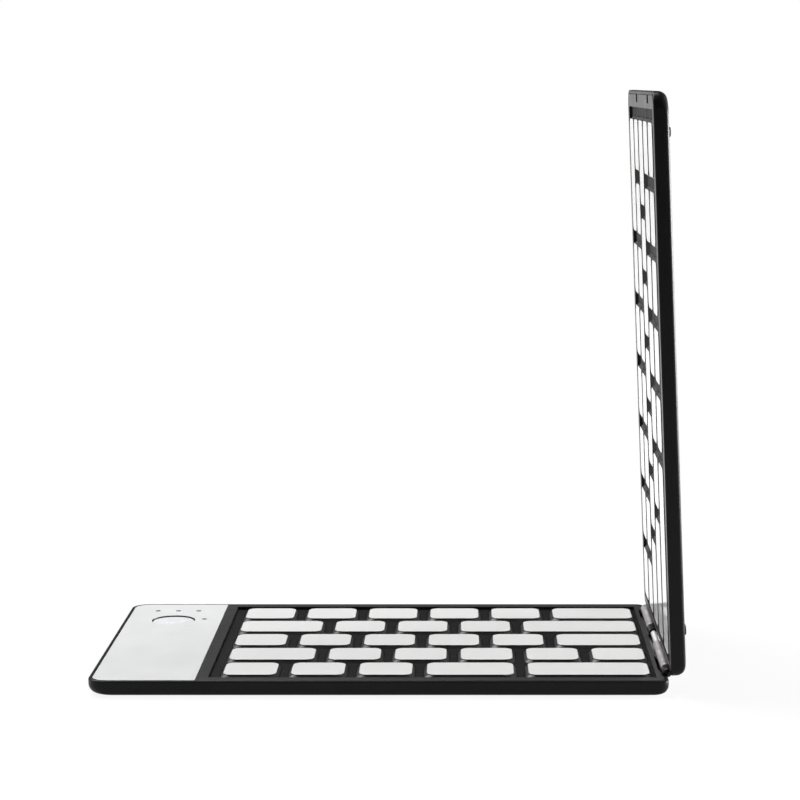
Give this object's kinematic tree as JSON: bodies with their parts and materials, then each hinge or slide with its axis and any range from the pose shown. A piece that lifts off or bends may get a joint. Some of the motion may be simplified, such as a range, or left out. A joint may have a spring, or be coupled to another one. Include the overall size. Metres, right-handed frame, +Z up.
{
  "type": "folding keyboard",
  "caption": "Slim pocket keyboard in two halves joined by a barrel hinge along one short end, with white flush keys and a white end panel.",
  "frame": {"origin": "middle of the footprint, on the surface it stands on", "axes": "+X towards the hinge and the standing lid, -X towards the end panel, +Y towards the back, +Z up"},
  "size_m": [0.1494, 0.0908, 0.1498],
  "materials": {
    "shell_black": "fine satin black",
    "tray_grey": "matte dark grey",
    "key_white": "semi-gloss white on a dark grey skirt",
    "panel_white": "smooth white",
    "lens_clear": "frosted clear",
    "plate_steel": "plain sheet steel",
    "dome_rubber": "translucent grey silicone",
    "board_green": "green board",
    "cell_foil": "pouch foil",
    "socket_steel": "stamped steel",
    "cable_black": "black insulation",
    "hinge_metal": "satin grey metal",
    "pin_steel": "bright ground steel",
    "foot_rubber": "dark rubber",
    "screw_dark": "blackened steel",
    "magnet_plated": "nickel plated"
  },
  "bodies": {
    "base": {"base_shell": "shell_black", "base_tray": "tray_grey", "base_support_plate": "plate_steel", "base_dome_sheet": "dome_rubber", "panel_cover": "panel_white", "indicator_lenses": "lens_clear", "circuit_board": "board_green", "battery": "cell_foil", "tact_switch": "socket_steel", "charging_socket": "socket_steel", "base_link_cable": "cable_black", "base_hinge_leaf": "hinge_metal", "hinge_pins": "pin_steel", "base_feet": "foot_rubber", "base_screws": "screw_dark", "base_magnets": "magnet_plated"},
    "lid": {"lid_shell": "shell_black", "lid_tray": "tray_grey", "lid_support_plate": "plate_steel", "lid_dome_sheet": "dome_rubber", "lid_link_cable": "cable_black", "lid_hinge_leaf": "hinge_metal", "lid_feet": "foot_rubber", "lid_screws": "screw_dark", "lid_magnets": "magnet_plated"},
    "connect_button": {"connect_button": "panel_white"},
    "base_key_a1": {"base_key_a1": "key_white"},
    "base_key_a2": {"base_key_a2": "key_white"},
    "base_key_a3": {"base_key_a3": "key_white"},
    "base_key_a4": {"base_key_a4": "key_white"},
    "base_key_a5": {"base_key_a5": "key_white"},
    "base_key_a6": {"base_key_a6": "key_white"},
    "base_key_b1": {"base_key_b1": "key_white"},
    "base_key_b2": {"base_key_b2": "key_white"},
    "base_key_b3": {"base_key_b3": "key_white"},
    "base_key_b4": {"base_key_b4": "key_white"},
    "base_key_b5": {"base_key_b5": "key_white"},
    "base_key_c1": {"base_key_c1": "key_white"},
    "base_key_c2": {"base_key_c2": "key_white"},
    "base_key_c3": {"base_key_c3": "key_white"},
    "base_key_c4": {"base_key_c4": "key_white"},
    "base_key_c5": {"base_key_c5": "key_white"},
    "base_key_c6": {"base_key_c6": "key_white"},
    "base_key_d1": {"base_key_d1": "key_white"},
    "base_key_d2": {"base_key_d2": "key_white"},
    "base_key_d3": {"base_key_d3": "key_white"},
    "base_key_d4": {"base_key_d4": "key_white"},
    "base_key_d5": {"base_key_d5": "key_white"},
    "base_key_d6": {"base_key_d6": "key_white"},
    "base_key_e1": {"base_key_e1": "key_white"},
    "base_key_e2": {"base_key_e2": "key_white"},
    "base_key_e3": {"base_key_e3": "key_white"},
    "base_key_e4": {"base_key_e4": "key_white"},
    "base_key_e5": {"base_key_e5": "key_white"},
    "lid_keys_row_a": {"lid_keys_row_a": "key_white"},
    "lid_keys_row_b": {"lid_keys_row_b": "key_white"},
    "lid_keys_row_c": {"lid_keys_row_c": "key_white"},
    "lid_keys_row_d": {"lid_keys_row_d": "key_white"},
    "lid_keys_row_e": {"lid_keys_row_e": "key_white"},
    "space_bar": {"space_bar": "key_white"}
  },
  "joints": [
    {"name": "lid_hinge", "type": "hinge", "parent": "base", "child": "lid", "pos_m": [0.07039, 0, 0.00475], "axis": [0, 1, 0], "range_deg": [-87.6, 92.4]},
    {"name": "press_base_key_a1", "type": "slide", "parent": "base", "child": "base_key_a1", "axis": [0, 0, -1], "range_m": [0, 0.0008], "stiffness_N_per_m": 500, "springref_m": -0.0004, "deforming": ["base_dome_sheet"]},
    {"name": "press_base_key_a2", "type": "slide", "parent": "base", "child": "base_key_a2", "axis": [0, 0, -1], "range_m": [0, 0.0008], "stiffness_N_per_m": 500, "springref_m": -0.0004},
    {"name": "press_base_key_a3", "type": "slide", "parent": "base", "child": "base_key_a3", "axis": [0, 0, -1], "range_m": [0, 0.0008], "stiffness_N_per_m": 500, "springref_m": -0.0004},
    {"name": "press_base_key_a4", "type": "slide", "parent": "base", "child": "base_key_a4", "axis": [0, 0, -1], "range_m": [0, 0.0008], "stiffness_N_per_m": 500, "springref_m": -0.0004},
    {"name": "press_base_key_a5", "type": "slide", "parent": "base", "child": "base_key_a5", "axis": [0, 0, -1], "range_m": [0, 0.0008], "stiffness_N_per_m": 500, "springref_m": -0.0004},
    {"name": "press_base_key_a6", "type": "slide", "parent": "base", "child": "base_key_a6", "axis": [0, 0, -1], "range_m": [0, 0.0008], "stiffness_N_per_m": 500, "springref_m": -0.0004},
    {"name": "press_base_key_b1", "type": "slide", "parent": "base", "child": "base_key_b1", "axis": [0, 0, -1], "range_m": [0, 0.0008], "stiffness_N_per_m": 500, "springref_m": -0.0004},
    {"name": "press_base_key_b2", "type": "slide", "parent": "base", "child": "base_key_b2", "axis": [0, 0, -1], "range_m": [0, 0.0008], "stiffness_N_per_m": 500, "springref_m": -0.0004},
    {"name": "press_base_key_b3", "type": "slide", "parent": "base", "child": "base_key_b3", "axis": [0, 0, -1], "range_m": [0, 0.0008], "stiffness_N_per_m": 500, "springref_m": -0.0004},
    {"name": "press_base_key_b4", "type": "slide", "parent": "base", "child": "base_key_b4", "axis": [0, 0, -1], "range_m": [0, 0.0008], "stiffness_N_per_m": 500, "springref_m": -0.0004},
    {"name": "press_base_key_b5", "type": "slide", "parent": "base", "child": "base_key_b5", "axis": [0, 0, -1], "range_m": [0, 0.0008], "stiffness_N_per_m": 500, "springref_m": -0.0004},
    {"name": "press_base_key_c1", "type": "slide", "parent": "base", "child": "base_key_c1", "axis": [0, 0, -1], "range_m": [0, 0.0008], "stiffness_N_per_m": 500, "springref_m": -0.0004},
    {"name": "press_base_key_c2", "type": "slide", "parent": "base", "child": "base_key_c2", "axis": [0, 0, -1], "range_m": [0, 0.0008], "stiffness_N_per_m": 500, "springref_m": -0.0004},
    {"name": "press_base_key_c3", "type": "slide", "parent": "base", "child": "base_key_c3", "axis": [0, 0, -1], "range_m": [0, 0.0008], "stiffness_N_per_m": 500, "springref_m": -0.0004},
    {"name": "press_base_key_c4", "type": "slide", "parent": "base", "child": "base_key_c4", "axis": [0, 0, -1], "range_m": [0, 0.0008], "stiffness_N_per_m": 500, "springref_m": -0.0004},
    {"name": "press_base_key_c5", "type": "slide", "parent": "base", "child": "base_key_c5", "axis": [0, 0, -1], "range_m": [0, 0.0008], "stiffness_N_per_m": 500, "springref_m": -0.0004},
    {"name": "press_base_key_c6", "type": "slide", "parent": "base", "child": "base_key_c6", "axis": [0, 0, -1], "range_m": [0, 0.0008], "stiffness_N_per_m": 500, "springref_m": -0.0004},
    {"name": "press_base_key_d1", "type": "slide", "parent": "base", "child": "base_key_d1", "axis": [0, 0, -1], "range_m": [0, 0.0008], "stiffness_N_per_m": 500, "springref_m": -0.0004},
    {"name": "press_base_key_d2", "type": "slide", "parent": "base", "child": "base_key_d2", "axis": [0, 0, -1], "range_m": [0, 0.0008], "stiffness_N_per_m": 500, "springref_m": -0.0004},
    {"name": "press_base_key_d3", "type": "slide", "parent": "base", "child": "base_key_d3", "axis": [0, 0, -1], "range_m": [0, 0.0008], "stiffness_N_per_m": 500, "springref_m": -0.0004},
    {"name": "press_base_key_d4", "type": "slide", "parent": "base", "child": "base_key_d4", "axis": [0, 0, -1], "range_m": [0, 0.0008], "stiffness_N_per_m": 500, "springref_m": -0.0004},
    {"name": "press_base_key_d5", "type": "slide", "parent": "base", "child": "base_key_d5", "axis": [0, 0, -1], "range_m": [0, 0.0008], "stiffness_N_per_m": 500, "springref_m": -0.0004},
    {"name": "press_base_key_d6", "type": "slide", "parent": "base", "child": "base_key_d6", "axis": [0, 0, -1], "range_m": [0, 0.0008], "stiffness_N_per_m": 500, "springref_m": -0.0004},
    {"name": "press_base_key_e1", "type": "slide", "parent": "base", "child": "base_key_e1", "axis": [0, 0, -1], "range_m": [0, 0.0008], "stiffness_N_per_m": 500, "springref_m": -0.0004},
    {"name": "press_base_key_e2", "type": "slide", "parent": "base", "child": "base_key_e2", "axis": [0, 0, -1], "range_m": [0, 0.0008], "stiffness_N_per_m": 500, "springref_m": -0.0004},
    {"name": "press_base_key_e3", "type": "slide", "parent": "base", "child": "base_key_e3", "axis": [0, 0, -1], "range_m": [0, 0.0008], "stiffness_N_per_m": 500, "springref_m": -0.0004},
    {"name": "press_base_key_e4", "type": "slide", "parent": "base", "child": "base_key_e4", "axis": [0, 0, -1], "range_m": [0, 0.0008], "stiffness_N_per_m": 500, "springref_m": -0.0004},
    {"name": "press_base_key_e5", "type": "slide", "parent": "base", "child": "base_key_e5", "axis": [0, 0, -1], "range_m": [0, 0.0008], "stiffness_N_per_m": 500, "springref_m": -0.0004},
    {"name": "press_lid_keys_row_a", "type": "slide", "parent": "lid", "child": "lid_keys_row_a", "axis": [0.9991, 0, 0.0419], "range_m": [0, 0.0008], "stiffness_N_per_m": 3500, "springref_m": -0.0004, "deforming": ["lid_dome_sheet"]},
    {"name": "press_lid_keys_row_b", "type": "slide", "parent": "lid", "child": "lid_keys_row_b", "axis": [0.9991, 0, 0.0419], "range_m": [0, 0.0008], "stiffness_N_per_m": 4000, "springref_m": -0.0004},
    {"name": "press_lid_keys_row_c", "type": "slide", "parent": "lid", "child": "lid_keys_row_c", "axis": [0.9991, 0, 0.0419], "range_m": [0, 0.0008], "stiffness_N_per_m": 3500, "springref_m": -0.0004},
    {"name": "press_lid_keys_row_d", "type": "slide", "parent": "lid", "child": "lid_keys_row_d", "axis": [0.9991, 0, 0.0419], "range_m": [0, 0.0008], "stiffness_N_per_m": 3500, "springref_m": -0.0004},
    {"name": "press_lid_keys_row_e", "type": "slide", "parent": "lid", "child": "lid_keys_row_e", "axis": [0.9991, 0, 0.0419], "range_m": [0, 0.0008], "stiffness_N_per_m": 2500, "springref_m": -0.0004},
    {"name": "press_space_bar", "type": "slide", "parent": "lid", "child": "space_bar", "axis": [0.9991, 0, 0.0419], "range_m": [0, 0.0008], "stiffness_N_per_m": 500, "springref_m": -0.0004},
    {"name": "press_connect_button", "type": "slide", "parent": "base", "child": "connect_button", "axis": [0, 0, -1], "range_m": [0, 0.0003], "stiffness_N_per_m": 2000, "springref_m": -0.0003}
  ]
}
